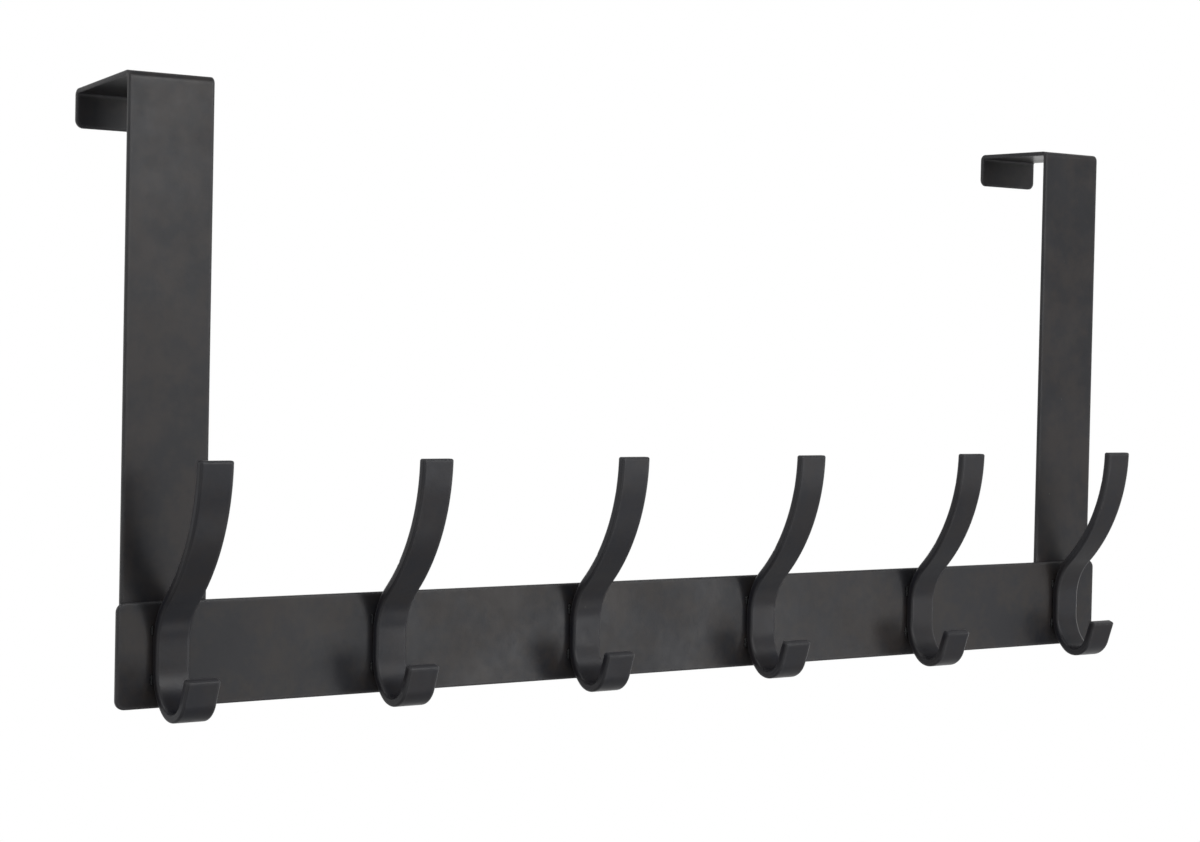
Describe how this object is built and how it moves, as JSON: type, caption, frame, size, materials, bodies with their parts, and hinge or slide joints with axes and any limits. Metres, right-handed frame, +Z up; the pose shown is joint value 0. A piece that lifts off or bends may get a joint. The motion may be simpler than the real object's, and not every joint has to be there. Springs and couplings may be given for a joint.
{
  "type": "over door hook rack",
  "caption": "Welded steel rack of double coat hooks on a flat rail, hung over a door by two folded straps.",
  "frame": {"origin": "on the door's top front edge, midway between the two straps, in the plane of the straps' rear faces and at the level of the right flange's underside", "axes": "+X along the rail to the right as seen from the hooks' side, +Y from the hooks' side towards the door, +Z up"},
  "size_m": [0.49, 0.0735, 0.2223],
  "materials": {
    "rail_coat": "satin black powder coat on flat sheet",
    "strap_coat": "satin black powder coat on folded sheet",
    "hook_coat": "satin black powder coat on bent flat bar",
    "weld_coat": "satin black powder coat over weld beads"
  },
  "bodies": {
    "root": {"rail": "rail_coat", "strap_left": "strap_coat", "strap_right": "strap_coat", "hook_1": "hook_coat", "hook_1_welds": "weld_coat", "hook_2": "hook_coat", "hook_2_welds": "weld_coat", "hook_3": "hook_coat", "hook_3_welds": "weld_coat", "hook_4": "hook_coat", "hook_4_welds": "weld_coat", "hook_5": "hook_coat", "hook_5_welds": "weld_coat", "hook_6": "hook_coat", "hook_6_welds": "weld_coat"}
  },
  "joints": []
}
